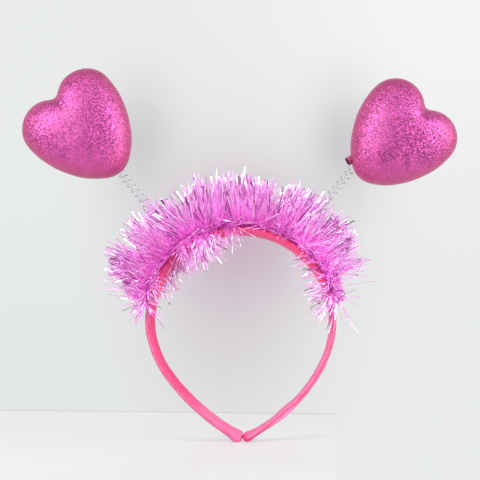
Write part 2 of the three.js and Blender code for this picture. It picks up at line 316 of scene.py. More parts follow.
def make_tilted_flakes():
    """Group of flakes: random cells, each with its own shade, and the normal tipped in each of them.

    The tip is a random vector, from -0.5 to 0.5 each way, times the tilt and a second random share, so that
    most flakes lie nearly flat and a few stand steep."""
    inputs = {"Coordinates": "vector", "Flakes per metre": "number", "Tilt": "number",
              "Deep": "colour", "Bright": "colour"}
    outputs = {"Colour": "colour", "Spark": "number", "Normal": "vector"}
    group, given, end = new_group("tilted_flakes", inputs, outputs)
    turned = add_node(group, "ShaderNodeMapping", {"Vector": given["Coordinates"], "Rotation": FLAKE_TURN})
    cells = {"Vector": turned.outputs["Vector"], "Scale": given["Flakes per metre"]}
    chance = add_node(group, "ShaderNodeTexVoronoi", cells).outputs["Color"]
    parts = add_node(group, "ShaderNodeSeparateColor", {"Color": chance}).outputs
    share = add_node(group, "ShaderNodeTexWhiteNoise", {"Vector": chance}).outputs["Value"]
    centred = vector_of(group, "SUBTRACT", chance, (0.5, 0.5, 0.5))
    tip = {0: centred, "Scale": sum_of(group, "MULTIPLY", given["Tilt"], share)}
    tipped = add_node(group, "ShaderNodeVectorMath", tip, operation="SCALE").outputs[0]
    surface = add_node(group, "ShaderNodeNewGeometry").outputs["Normal"]
    normal = vector_of(group, "NORMALIZE", vector_of(group, "ADD", surface, tipped))
    shade = blend_of(group, parts["Red"], given["Deep"], given["Bright"])
    feed(group, end, {"Colour": shade, "Spark": parts["Green"], "Normal": normal})
    return group


soft_clouds = make_soft_clouds()
tilted_flakes = make_tilted_flakes()
print("groups:", soft_clouds.name, tilted_flakes.name)

# %% [markdown]
# The band is a springy strip with a satin ribbon sewn round it. A curve with a bevel would give a plain
# tube, so the section is carried along the centre line as rings. The crown is one arc and each leg a
# flatter one. Rings stand half a millimetre apart, and closer at the tips, which are round.

# %% Band: centre line and section
CROWN_CENTRE = np.array([0.0, 0.0, -56.5])
CROWN_RADIUS = 59.0
BAND_WIDTH = 8.5
BAND_THICKNESS = 4.7
LEFT_LEG = {"start": -126.0, "end": -153.7, "radius": 132.6}
RIGHT_LEG = {"start": 115.0, "end": 158.1, "radius": 98.8}
TIP_LENGTH = 3.2
TIP_RINGS = 14
RING_STEP = 0.5
SECTION_POINTS = 48
SQUARENESS = 0.74
FINE_POINTS = 20001


def band_line(heading):
    """Centre line: crown centre plus the radius outwards; past a leg's start, that leg's larger radius."""
    line = CROWN_CENTRE + CROWN_RADIUS * outward(heading)
    for leg in (LEFT_LEG, RIGHT_LEG):
        past = heading < leg["start"] if leg["end"] < 0 else heading > leg["start"]
        hub = CROWN_CENTRE + (CROWN_RADIUS - leg["radius"]) * outward(leg["start"])
        line = np.where(past[:, None], hub + leg["radius"] * outward(heading), line)
    return line


def even_headings():
    """Headings whose points on the centre line are a step apart, closer together at the two tips."""
    fine = np.linspace(LEFT_LEG["end"], RIGHT_LEG["end"], FINE_POINTS)
    run = run_along(band_line(fine))
    body = np.arange(TIP_LENGTH, run[-1] - TIP_LENGTH, RING_STEP)
    tip = TIP_LENGTH * np.linspace(0.02, 1, TIP_RINGS, endpoint=False) ** 2
    places = np.concatenate([tip, body, run[-1] - tip[::-1]])
    return np.interp(places, run, fine), places, run[-1]


def oval_section():
    """Rise and reach of a squared oval, powers of cosine and sine, spaced evenly along its own length."""
    angle = np.linspace(0, 2 * np.pi, 4001)
    rise = BAND_THICKNESS / 2 * np.sign(np.cos(angle)) * np.abs(np.cos(angle)) ** SQUARENESS
    reach = BAND_WIDTH / 2 * np.sign(np.sin(angle)) * np.abs(np.sin(angle)) ** SQUARENESS
    run = run_along(np.stack([rise, reach], axis=-1))
    places = np.linspace(0, run[-1], SECTION_POINTS, endpoint=False)
    return np.interp(places, run, rise), np.interp(places, run, reach), run[-1]


headings, places, band_length = even_headings()
rise, reach, band_girth = oval_section()
band_out = outward(headings)
from_tip = np.minimum(places, band_length - places)
print("band length", round(band_length, 1), "mm, girth", round(band_girth, 1), "mm")

# %% [markdown]
# The strip turns about its own line on the way, so the left leg shows its inner face and the right one its
# edge. It is a little fuller or slimmer by the tips. Short tables by heading hold what is read off such a
# band, and a short mean rounds their corners.

# %% Band: bare strip
TURN_HEADINGS = (-160, -152.5, -150, -147, -138, -118, -106, -96, -80, 0, 60, 95, 115, 150, 154, 160)
TURN_ANGLES = (74, 62, 44, 32, 29, 24, 25, 28, 33, 25, 12, 6, 2, 4, 18, 34)
TURN_SHIFTS = (0.2, 0.3, -0.2, -0.5, -0.9, -0.8, -0.6, 0, 0, 0, 0, 0.5, 0.4, 0.4, 0.9, 1.2)
LEFT_SWELL_PLACES = (0, 2, 4.5, 7, 9.5, 14)
LEFT_SWELLS = (1.04, 1.09, 1.08, 0.99, 0.96, 1.0)
RIGHT_SWELL_PLACES = (0, 2, 4.5, 7, 9, 13, 84, 100)
RIGHT_SWELLS = (0.86, 0.95, 1.02, 0.96, 0.88, 0.92, 0.92, 1.0)
EASE_RINGS = 6
TIP_ROUNDNESS = 0.45


def eased(table_headings, table_values):
    """Values of a table along the band, with a short mean over 6 mm that rounds off its corners."""
    window = np.hanning(2 * EASE_RINGS + 3)[1:-1]
    padded = np.pad(np.interp(headings, table_headings, table_values), EASE_RINGS, mode="edge")
    return np.convolve(padded, window / window.sum(), mode="valid")


def bare_strip():
    """Rings of the strip: centre line plus the section's rise and reach, turned, swollen, round-tipped."""
    spin = np.radians(eased(TURN_HEADINGS, TURN_ANGLES))[:, None]
    thick = band_out * np.cos(spin) + SIDE * np.sin(spin)
    wide = SIDE * np.cos(spin) - band_out * np.sin(spin)
    middle = band_line(headings) + band_out * eased(TURN_HEADINGS, TURN_SHIFTS)[:, None]
    swell = np.interp(places, LEFT_SWELL_PLACES, LEFT_SWELLS)
    swell = swell * np.interp(band_length - places, RIGHT_SWELL_PLACES, RIGHT_SWELLS)
    tip_share = np.clip(1 - from_tip / TIP_LENGTH, 0, 1)
    size = ((1 - tip_share**2) ** TIP_ROUNDNESS * swell)[:, None]
    up = thick[:, None] * (rise * size)[..., None]
    return middle[:, None] + up - wide[:, None] * (reach * size)[..., None]


strip = bare_strip()
print("strip:", strip.shape[0], "rings of", strip.shape[1], "points")

# %% [markdown]
# Satin pulled round a strip never lies dead flat. Slanting puckers run off the sewn edge, fine streaks
# follow the ribbon, a crease runs down the right leg, and the cloth is gathered at the right tip. Each is
# a small height on the grid, so light and shadow come from real shape; the crease also gets painted shade
# from a mask further on.

# %% Band: folds in the satin
PUCKER = {"height": 0.08, "step": 3.1, "slant": 5.5}
STREAK = {"height": 0.05, "drift": 0.6, "waves": (3.3, 1.9, 1.2)}
GATHERS = {"height": 0.2, "count": 7}
CREASE = {"depth": 0.4, "width": 0.42, "wander": 0.12}
CREASE_HEADINGS = (105, 118, 131, 137, 143, 149, 154)
CREASE_RISES = (1.0, 0.9, 0.8, 0.0, 0.0, 0.75, 0.5)
band_run = places[:, None]
band_round = np.linspace(0, band_girth, SECTION_POINTS, endpoint=False)[None, :]
to_right_tip = band_length - band_run
front_edge = smooth_step(2.6, 3.7, reach)[None, :]


def crease_line():
    """Rise of the crease on the section: its table by heading, plus a slow wander."""
    wander = CREASE["wander"] * wandering(band_run, (26, 11), 13)
    return eased(CREASE_HEADINGS, CREASE_RISES)[:, None] + wander


def crease_mask(line):
    """1 along the crease, a bell curve of the distance from its line, on the right leg's front edge."""
    on_right = smooth_step(108, 116, headings)[:, None]
    return on_right * front_edge * np.exp(-(((rise[None, :] - line) / CREASE["width"]) ** 2))


def satin_relief(crease):
    """Height of the satin: slanting sines for puckers, wandering streaks and gathers, less the crease."""
    slow = 0.5 + 0.5 * wandering(band_run, (41, 23, 13), 3)
    slanting = 2 * np.pi * (band_run / PUCKER["step"] + band_round / PUCKER["slant"])
    pucker = PUCKER["height"] * slow * np.sin(slanting + 2 * wandering(band_run, (29, 17), 5))
    drift = STREAK["drift"] * wandering(band_run, (37, 19), 7)
    streak = STREAK["height"] * wandering(band_round + drift, STREAK["waves"], 9)
    gathers = np.sin(2 * np.pi * band_round * GATHERS["count"] / band_girth)
    gathers = GATHERS["height"] * smooth_step(8, 4, to_right_tip) * gathers
    height = pucker + streak - CREASE["depth"] * crease + gathers
    return height * np.clip(from_tip / 2, 0, 1)[:, None]


crease_at = crease_line()
crease = crease_mask(crease_at)
relief = satin_relief(crease)
folded = strip + ring_normals(strip) * relief[..., None]
print("folds from", round(float(relief.min()), 2), "to", round(float(relief.max()), 2), "mm")

# %% [markdown]
# Below the tinsel the ribbon's raw edge stands out on the right leg as a pale flap. It could be a second
# strip, but the real one is the same cloth, so the band's own grid is drawn outwards there. Painted masks
# tell the finish where the cloth is pale, where painted shade darkens it, and where a painted reflection
# of the tinsel brightens the crown.

# %% Band: raw edge and masks
FLAP_HEADINGS = (113.8, 115.2, 119, 124, 130, 134, 138.5, 143, 147, 152)
FLAP_WIDTHS = (0.0, 0.8, 0.75, 0.45, 0.12, 0.35, 0.6, 0.45, 0.2, 0.0)
FLAP_PULL = {"outwards": 0.8, "forwards": 0.45, "ragged": 0.18}
BULGE = {"heading": 139, "spread": 4.5, "height": 0.9}


def flap_widths():
    """Width of the raw edge along the band: its table by heading, made ragged by a wander."""
    ragged = 1 + FLAP_PULL["ragged"] * wandering(band_run, (16, 9, 5.5), 17)
    return np.interp(headings, FLAP_HEADINGS, FLAP_WIDTHS)[:, None] * ragged


def draw_out(rings, flap):
    """Rings with the raw edge drawn outwards and forwards by its width, and a bulge on the inner face."""
    lifted = flap * (smooth_step(0.75, 1.15, rise) * smooth_step(1.5, 3.2, reach))[None, :]
    along = np.exp(-(((headings - BULGE["heading"]) / BULGE["spread"]) ** 2))[:, None]
    bulge = BULGE["height"] * along * smooth_step(-0.5, -1.5, rise)[None, :]
    rings = rings + band_out[:, None] * (FLAP_PULL["outwards"] * lifted - bulge)[..., None]
    return rings - SIDE * (FLAP_PULL["forwards"] * lifted)[..., None]


def pale_mask(flap):
    """1 on the raw edge: above the crease's line, on the front edge, where the flap is wide."""
    return smooth_step(0.0, 0.35, rise[None, :] - crease_at) * front_edge * np.clip(1.6 * flap, 0, 1)


def satin_shade_mask():
    """Painted shade: the left leg's inner face, turned from the light, the gathered right tip and the
    crease, added up.
    """
    on_left = smooth_step(-143, -131, headings)[:, None] * smooth_step(-70, -82, headings)[:, None]
    inside = smooth_step(0.5, 1.5, -rise)[None, :] * on_left
    return np.clip(0.85 * inside + 0.7 * smooth_step(5, 1.5, to_right_tip) + 0.7 * crease, 0, 1)


flap = flap_widths()
band_rings = draw_out(folded, flap)
# Painted reflection: the crown mask brightens the ribbon under the tinsel, standing in for the film's light
# thrown onto it.
crown_reflection_mask = np.broadcast_to(smooth_step(84, 66, np.abs(headings))[:, None], band_rings.shape[:2])
band = put_rings("satin_band", band_rings)
paint_points(band, "flap", pale_mask(flap))
# Painted shade: this mask darkens the satin where its faces turn from the light and in the crease.
paint_points(band, "painted_shade", satin_shade_mask())
paint_points(band, "crown", crown_reflection_mask)
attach(band, "band")
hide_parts("covered_band")
print("band:", triangle_count(band), "triangles")

# %% [markdown]
# Satin shines because long floats of thread lie side by side on its face. The finish reads the band's own
# UV map, so the threads follow the ribbon round every bend. Fine lines across and along it make the bump,
# clouds make the tone uneven, and a little sheen lifts the edges as fibres do.

# %% Satin finish
# The flap's pale pink is the cloth's own; the darker tint is painted shade and the crown's is a painted
# reflection of the tinsel.
SATIN_TINTS_AND_PAINTED_LIGHT = {"crown": paint(230, 64, 124), "painted_shade": paint(204, 26, 98), "flap": paint(238, 124, 168)}
THREAD_STEPS = {"X": 0.32 * MM, "Y": 0.21 * MM}
CROSS_THREADS = 0.4
CLOUD_STRETCH = (0.12, 1, 1)


def make_satin():
    """Pink satin: clouds along the ribbon, tints and painted light and shade by masks, and sines of two
    threads as bump.
    """
    material, tree, skin = new_finish("pink_satin")
    cloth = add_node(tree, "ShaderNodeUVMap", uv_map="skin").outputs["UV"]
    flat = {"Vector": cloth, "Scale": (band_length * MM, band_girth * MM, 1)}
    lie = add_node(tree, "ShaderNodeMapping", flat).outputs["Vector"]
    drawn = add_node(tree, "ShaderNodeMapping", {"Vector": lie, "Scale": CLOUD_STRETCH}).outputs["Vector"]
    clouds = effect(tree, soft_clouds, drawn, Clouds_per_metre=900,
                    Dark=paint(197, 75, 121), Light=paint(211, 101, 147))
    colour = clouds["Colour"]
    for name, tint in SATIN_TINTS_AND_PAINTED_LIGHT.items():
        colour = blend_of(tree, mask_of(tree, name), colour, tint)
    axes = axes_of(tree, lie)
    across, along = (sum_of(tree, "SINE", sum_of(tree, "MULTIPLY", axes[axis], 2 * np.pi / step))
                     for axis, step in THREAD_STEPS.items())
    threads = sum_of(tree, "ADD", sum_of(tree, "MULTIPLY", across, CROSS_THREADS), along)
    bump = add_node(tree, "ShaderNodeBump", {"Height": threads, "Strength": 0.15, "Distance": 0.03 * MM})
    feed(tree, skin, {
        "Base Color": colour,
        "Roughness": range_of(tree, clouds["Mask"], given=(0.5, 0.36)),
        "Normal": bump.outputs["Normal"],
        "Sheen Weight": 0.12,
        "Sheen Roughness": 0.4,
        "Sheen Tint": paint(255, 200, 222),
    })
    return material


satin = make_satin()
band.data.materials.append(satin)
print("finish:", satin.name)

# %% [markdown]
# The hearts are light foam pressed in a mould, so they are puffy on both faces and round at the rim. A
# sculpt would do, but the rim is three arcs a side. Rings of that rim shrink towards the middle of each
# face and grow rounder on the way, which fades the notch into a shallow valley as the real ones do.

# %% Hearts: rim
HEART_NOTCH = 25.0
HEART_ARCS = (
    {"across": 15.3, "along": 12.7, "radius": 18.85, "from": 136, "to": 0},
    {"across": -24.4, "along": 12.7, "radius": 58.5, "from": 0, "to": -55},
    {"across": 0.0, "along": -22.1, "radius": 16.0, "from": -55, "to": -90},
)
ARC_POINTS = 300
HEART_COLUMNS = 400
RIM_SOFTENING = np.arange(-12, 13)


def heart_rim():
    """Rim of a heart: arcs of one half, mirrored for the other, spaced evenly, softened by a short mean."""
    half = [np.array([[0.0, HEART_NOTCH]])]
    for arc in HEART_ARCS:
        angle = np.radians(np.linspace(arc["from"], arc["to"], ARC_POINTS))
        circle = np.stack([np.cos(angle), np.sin(angle)], axis=-1)
        half.append(np.array([arc["across"], arc["along"]]) + arc["radius"] * circle)
    right = np.concatenate(half)
    loop = np.concatenate([right, (right * [-1, 1])[::-1]])
    run = run_along(loop)
    spots = np.linspace(0, run[-1], HEART_COLUMNS, endpoint=False)
    even = np.stack([np.interp(spots, run, loop[:, k]) for k in range(2)], axis=-1)
    window = np.exp(-0.5 * (RIM_SOFTENING / 4.0) ** 2)
    window /= window.sum()
    return sum(weight * np.roll(even, shift, axis=0) for shift, weight in zip(RIM_SOFTENING, window))


rim = heart_rim()
print("rim:", np.ptp(rim, axis=0).round(1), "mm across and along")

# %% [markdown]
# Foam never comes out of a mould quite even, so long low lumps run over the faces in slanting directions.
# Two masks go with each heart: painted shade on the rim, darker and redder, and a painted reflection of
# the pale floor, a paler patch low on the faces.

# %% Hearts
HEART_HALF_DEPTH = 20.0
HEART_CORE_RADIUS = 30.0
HEART_ROWS = 120
HEART_SWING = np.radians(np.linspace(-89.2, 89.2, HEART_ROWS))
FACE_POWER = 0.85
DEPTH_POWER = 0.92
ROUNDING_POWER = 1.5
LUMP_HEADINGS = (20, 75, 140)
LUMP_LENGTHS = (41, 27, 17)
LUMP_HEIGHT = 0.09
LUMP_SLANT = 0.6
HEARTS = {
    "left": {"x": -103.3, "z": 69.6, "lean": -42.0, "size": 1.008, "seed": 40},
    "right": {"x": 102.6, "z": 64.2, "lean": 44.0, "size": 0.98, "seed": 50},
}


def heart_rings(placing):
    """Rings of a heart: the rim times cos(swing)^0.85, drawn to a circle, at a depth of sin(swing)^0.92.

    The lumps are sums of long slow sines along three slanting directions."""
    swing = HEART_SWING[:, None, None]
    share = np.cos(swing) ** FACE_POWER
    depth = np.sign(swing) * HEART_HALF_DEPTH * np.abs(np.sin(swing)) ** DEPTH_POWER
    circle = unit(rim[None]) * HEART_CORE_RADIUS
    pull = (1 - share) ** ROUNDING_POWER
    flat = (rim[None] * (1 - pull) + circle * pull) * share * placing["size"]
    centre = np.array([placing["x"], 0.0, placing["z"]])
    across = outward(placing["lean"] + 90)
    along = outward(placing["lean"])
    rings = centre + across * flat[..., :1] + along * flat[..., 1:] + SIDE * depth
    lump = 0
    for heading in LUMP_HEADINGS:
        way = outward(heading) + LUMP_SLANT * SIDE
        lump = lump + wandering(rings @ way, LUMP_LENGTHS, placing["seed"] + heading)
    return rings + unit(rings - centre) * LUMP_HEIGHT * lump[..., None]


def rim_shade_mask():
    """Painted shade: 1 on the rings nearest the rim and 0 over both faces, by the cosine of the swing."""
    near = smooth_step(0.62, 0.98, np.cos(HEART_SWING))[:, None]
    return np.broadcast_to(near, (HEART_ROWS, HEART_COLUMNS))


def floor_reflection_mask(rings, placing):
    """Painted reflection of the pale floor: 1 low on both faces, by the drop below the middle, its edge
    wandering.
    """
    wander = wandering(rings[..., 0], (23, 13, 8), placing["seed"] + 2)
    return smooth_step(0.3, 0.8, (placing["z"] - rings[..., 2]) / 30 + 0.12 * wander)


hearts = {}
for side, placing in HEARTS.items():
    rings = heart_rings(placing)
    heart = put_rings("glitter_heart_" + side, rings)
    # Painted reflection: a paler patch low on both faces stands in for light from the pale floor.
    paint_points(heart, "floor_reflection", floor_reflection_mask(rings, placing))
    # Painted shade: the rim mask darkens and reddens the skin towards the rim.
    paint_points(heart, "rim", rim_shade_mask())
    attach(heart, side + "_heart")
    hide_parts("heart_" + side)
    hearts[side] = heart
    print(heart.name, triangle_count(heart), "triangles")

# %% [markdown]
# Beside its spring the right heart keeps a short stub where its skin was drawn shut and cut. It is a little
# tube that flares into the heart, so one outline of reaches and radii is spun round its axis. The cut end
# is sunk, and painted shade darkens it inside.

# %% Stub of the right heart
STUB_END = np.array([69.2, -1.2, 47.7])
STUB_LEAN = 60.0
STUB_BACK = 20.0
STUB_REACHES = (1.3, 1.1, 0.4, 0.1, 0.0, 0.2, 1.0, 2.5, 4.5, 7.0, 11.5)
STUB_RADII = (0.2, 2.0, 2.2, 2.3, 2.45, 2.6, 2.65, 2.6, 2.75, 3.3, 2.8)
STUB_LIP = 4
STUB_SIDES = 40


def stub_rings():
    """Rings of the stub: slightly uneven circles of the given radii at the given reaches along its axis."""
    around = np.linspace(0, 2 * np.pi, STUB_SIDES, endpoint=False)[None, :, None]
    back = np.radians(STUB_BACK)
    across = outward(STUB_LEAN + 90)
    axis = outward(STUB_LEAN) * np.cos(back) + SIDE * np.sin(back)
    uneven = 1 + 0.05 * np.sin(3 * around) + 0.04 * np.sin(7 * around + 1)
    circle = (across * np.cos(around) + np.cross(axis, across) * np.sin(around)) * uneven
    reaches, radii = (np.array(column)[:, None, None] for column in (STUB_REACHES, STUB_RADII))
    return STUB_END + axis * reaches + circle * radii


stub = put_rings("glitter_heart_stub", stub_rings())
stub_row = np.repeat(np.arange(len(STUB_RADII)), STUB_SIDES)
# The stub's outside takes the hearts' painted rim shade, and its sunk end painted shade of its own.
paint_points(stub, "rim", stub_row > STUB_LIP)
paint_points(stub, "painted_hollow_shade", stub_row < STUB_LIP)
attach(stub, "right_heart")
print(stub.name, triangle_count(stub), "triangles")

# %% [markdown]
# Glitter is thousands of tiny mirror chips stuck down at odd angles. Modelling each chip would take
# millions of faces, so the flake group tips the normal cell by cell instead. Every cell then catches its
# own bit of the lights. A little clouded paint shows between the chips. Masks paint a paler reflection of
# the floor low on the faces, and shade at the rims and in the stub's hollow.

# %% Glitter finish
PAINT_SHARE = 0.22
GLITTER_PAINTED_LIGHT = {
    "floor_reflection": {"share": 0.55, "colour": paint(216, 84, 164)},
    "rim": {"share": 0.42, "colour": paint(204, 82, 112)},
    "painted_hollow_shade": {"share": 1.0, "colour": paint(84, 8, 46)},
}


def make_glitter():
    """Glittered skin: flakes mixed with clouded paint, part metal under a thin coat, with painted light and
    shade by masks.
    """
    material, tree, skin = new_finish("magenta_glitter")
    where = object_place(tree)
    clouds = effect(tree, soft_clouds, where, Clouds_per_metre=110,
                    Dark=paint(164, 54, 114), Light=paint(188, 80, 142))
    flakes = effect(tree, tilted_flakes, where, Flakes_per_metre=1500, Tilt=0.8,
                    Deep=paint(82, 0, 54), Bright=paint(228, 92, 188))
    colour = blend_of(tree, PAINT_SHARE, flakes["Colour"], clouds["Colour"])
    for name, tint in GLITTER_PAINTED_LIGHT.items():
        share = sum_of(tree, "MULTIPLY", mask_of(tree, name), tint["share"])
        colour = blend_of(tree, share, colour, tint["colour"])
    feed(tree, skin, {
        "Base Color": colour,
        "Roughness": range_of(tree, flakes["Spark"], given=(0.4, 0.6)),
        "Metallic": range_of(tree, flakes["Spark"], given=(0.5, 0.85)),
        "Normal": flakes["Normal"],
        "Coat Weight": 0.3,
        "Coat Roughness": 0.4,
    })
    return material


glitter = make_glitter()
for piece in (*hearts.values(), stub):
    piece.data.materials.append(glitter)
print("finish:", glitter.name)

# %% [markdown]
# Each heart stands on a spring of thin steel wire with a closed turn at both ends. A screw modifier could
# wind it, but the wire is a circle carried along a helix, so two angles give every point. It rises straight
# from its foot on the band towards the heart.

# %% Springs
COIL_RADIUS = 2.5
WIRE_RADIUS = 0.25
CLOSED_PITCH = 0.8
WIRE_STEPS = 28
WIRE_SIDES = 10
SPRINGS = {
    "left": {"heading": -38.5, "rise": 62.5, "lean": -39.1, "length": 68.8, "turns": 16.4},
    "right": {"heading": 32.9, "rise": 62.6, "lean": 39.1, "length": 66.5, "turns": 15.8},
}


def spring_foot(spring):
    """Foot of a spring: crown centre plus its rise outwards at its heading."""
    return CROWN_CENTRE + spring["rise"] * outward(spring["heading"])


def spring_rings(spring):
    """Rings of wire: a helix, closer in its end turns, with a circle square to it at each step."""
    turns = spring["turns"] + 2
    turn = np.linspace(0, turns, int(turns * WIRE_STEPS))
    pitch = (spring["length"] - 2 * CLOSED_PITCH) / spring["turns"]
    open_turns = np.clip(turn - 1, 0, spring["turns"])
    climb = open_turns * pitch + (turn - open_turns) * CLOSED_PITCH
    angle = 2 * np.pi * turn[:, None]
    axis = outward(spring["lean"])
    radial = outward(spring["lean"] + 90) * np.cos(angle) + SIDE * np.sin(angle)
    line = spring_foot(spring) + axis * climb[:, None] + radial * COIL_RADIUS
    upright = np.cross(unit(np.gradient(line, axis=0)), radial)
    around = np.linspace(0, 2 * np.pi, WIRE_SIDES, endpoint=False)[None, :, None]
    circle = radial[:, None] * np.cos(around) + upright[:, None] * np.sin(around)
    return line[:, None] + WIRE_RADIUS * circle


springs = {}
for side, spring in SPRINGS.items():
    wire = put_rings("coil_spring_" + side, spring_rings(spring))
    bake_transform(wire)
    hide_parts("spring_" + side)
    springs[side] = wire
    print(wire.name, triangle_count(wire), "triangles")

# %% [markdown]
# Drawn spring wire is bright, with faint dull patches where the oil dried. A plain metal with clouds in
# its colour and roughness is enough at this width, but it still keeps the coils from looking like plastic.

# %% Steel finish
def make_steel():
    """Spring steel: clouded grey metal, rougher where it is darker."""
    material, tree, skin = new_finish("spring_wire")
    clouds = effect(tree, soft_clouds, object_place(tree), Clouds_per_metre=700,
                    Dark=paint(172, 175, 177), Light=paint(208, 210, 211))
    rough = range_of(tree, clouds["Mask"], given=(0.6, 0.45))
    feed(tree, skin, {"Base Color": clouds["Colour"], "Roughness": rough, "Metallic": 1.0})
    return material


steel = make_steel()
for wire in springs.values():
    wire.data.materials.append(steel)
print("finish:", steel.name)

# %% [markdown]
# Tinsel is a twisted cord that grips thousands of cut strips of metal film. Hair could stand in for it,
# but strips are flat and catch light on their faces, so each is a thin closed ribbon of its own. They grow
# in locks that share a lean and a slant, and tables by heading comb, shorten and part them.

# %% Tinsel: where strands grow
CORD = {"start": -80.0, "end": 78.0, "half_thickness": 2.5, "half_width": 4.4}
CORD_HEADINGS = (-80, 0, 40, 78)
CORD_RISES = (64.2, 64.2, 63.7, 63.3)
COMB_HEADINGS = (-80, -70, -62, -55, -50, -44, 40, 50, 56, 60, 66, 78)
COMB_SLANTS = (24, 9, -8, -13, -7, 0, 0, 6, 6, 0, -18, -25)
REACH_HEADINGS = (-80, -75, -70, -62, -50, -20, 0, 24, 38, 46, 56, 60, 64, 70, 78)
REACH_LENGTHS = (13, 21, 29, 33.5, 36.5, 36, 34, 35, 36, 33.5, 31, 27, 15, 8, 6)
PARTINGS = (
    {"heading": -52, "slant": 2, "spread": 4, "thin": 0.05},
    {"heading": -28, "slant": 9, "spread": 6, "thin": 0.12},
    {"heading": 15, "slant": 14, "spread": 5, "thin": 0.15},
    {"heading": 35, "slant": 8, "spread": 4, "thin": 0.1},
)
DENSITY_SHARES = (0.0, 0.28, 0.77, 1.0)
DENSITY_HEADINGS = (-80.0, -50.0, 30.0, 78.0)
PALE_HEADINGS = (-78, -72, -54, -46, 36, 46)
PALE_SHARES = (1.0, 0.95, 0.95, 1.0, 1.0, 1.2)
LOCKS = 102
LOCK_SCATTER = {"lean": 32, "slant": 10}
LEAN_LIMIT = 70


def cord_rise(heading):
    """Rise of the cord above the crown centre at each heading: it follows the band's own outer edge."""
    return np.interp(heading, CORD_HEADINGS, CORD_RISES)[:, None]


def lock_table(rng):
    """Locks: heading, lean, slant combed inwards at both ends and off each parting, growth and tone."""
    share = (np.arange(LOCKS) + rng.uniform(0, 1, LOCKS)) / LOCKS
    heading = np.interp(share, DENSITY_SHARES, DENSITY_HEADINGS)
    lean = np.clip(rng.normal(0, LOCK_SCATTER["lean"], LOCKS), -LEAN_LIMIT, LEAN_LIMIT)
    slant = rng.normal(0, LOCK_SCATTER["slant"], LOCKS) + np.interp(heading, COMB_HEADINGS, COMB_SLANTS)
    growth = rng.uniform(0.9, 1.06, LOCKS)
    for row in PARTINGS:
        off = heading - row["heading"]
        slant = slant + row["slant"] * np.sign(off) * np.exp(-np.abs(off) / row["spread"])
        growth = growth * (1 - row["thin"] * np.exp(-((off / row["spread"]) ** 2)))
    tone = rng.uniform(0.7, 1.2, LOCKS) * np.interp(heading, PALE_HEADINGS, PALE_SHARES)
    return heading, lean, slant, growth, tone


print(LOCKS, "locks from", CORD["start"], "to", CORD["end"], "degrees")

# %% [markdown]
# Every strand then strays a little from its lock, and one in ten strays far. That is what keeps the garland
# from looking combed. All strands are worked out together, as columns of numbers.

# %% Tinsel: standing strands
STANDING_SEED = 11
STRANDS_PER_LOCK = 34
STRAND_SCATTER = {"heading": 1.4, "lean": 10, "slant": 4.5}
STRAY = {"share": 0.1, "slant": 22}
STRAND_LEAN_LIMIT = 84
SLANT_LIMIT = 65
ROOT_UP = 0.8
ROOT_BACK = 3.2


def standing_strands(seed):
    """Strands of the locks: heading, lean and slant scattered about their lock's, length by heading."""
    rng = np.random.default_rng(seed)
    heading, lean, slant, growth, tone = (np.repeat(column, STRANDS_PER_LOCK) for column in lock_table(rng))
    count = len(heading)
    heading = np.clip(heading + rng.normal(0, STRAND_SCATTER["heading"], count), CORD["start"], CORD["end"])
    lean = lean + rng.normal(0, STRAND_SCATTER["lean"], count)
    lean = np.clip(lean, -STRAND_LEAN_LIMIT, STRAND_LEAN_LIMIT)
    slant = slant + rng.normal(0, STRAND_SCATTER["slant"], count)
    length = np.interp(heading, REACH_HEADINGS, REACH_LENGTHS) * growth * rng.uniform(0.72, 1.0, count)
    length = length * (1 - 0.2 * np.sin(np.radians(lean)) ** 2)
    stray = rng.uniform(0, 1, count) < STRAY["share"]
    slant = np.where(stray, slant + rng.normal(0, STRAY["slant"], count), slant)
    slant = np.clip(slant, -SLANT_LIMIT, SLANT_LIMIT)
    tone = np.clip(tone * rng.uniform(0, 1, count), 0, 1)
    return {"heading": heading, "lean": lean, "slant": slant, "length": length, "tone": tone}


def strand_directions(strands):
    """Directions: outwards and to the back by the lean, then along the cord by the tangent of the slant."""
    out = outward(strands["heading"])
    onward = outward(strands["heading"] + 90)
    lean = np.radians(strands["lean"])[:, None]
    slant = np.radians(strands["slant"])[:, None]
    ahead = out * np.cos(lean) + SIDE * np.sin(lean) + onward * np.tan(slant)
    up = cord_rise(strands["heading"]) + ROOT_UP * np.cos(lean)
    root = CROWN_CENTRE + out * up + SIDE * ROOT_BACK * np.sin(lean)
    return root, unit(ahead)


standing = standing_strands(STANDING_SEED)
print(len(standing["heading"]), "standing strands")

# %% [markdown]
# A strand is a spine that bends a little, and four corners carried along it that twist slowly, as thin film
# does. Four corners are enough for a strip a millimetre wide, and they keep thousands of strips light. Each
# point also knows its strand's tone, its way to the cut end and how much painted shade it takes by the
# roots.

# %% Tinsel: strips of film
STRIP_RINGS = 8
STRIP_THICKNESS = 0.06
STRIP_TWIST = 1.1
STRIP_TWIST_STEP = 0.22
STRIP_BEND = 0.055
STANDING_WIDTHS = (0.55, 1.1)
ROOT_HEADINGS = (-80, -72, -48, -38, -20, 0, 20, 36, 46, 64, 78)
ROOT_SHADES = (0.15, 0.35, 0.6, 0.45, 0.4, 0.25, 0.5, 0.2, 0.25, 0.15, 0.05)
ROOT_DEPTHS = (16, 20, 20, 16, 14, 14, 26, 14, 14, 14, 14)
strip_share = np.linspace(0, 1, STRIP_RINGS)[None, :, None]


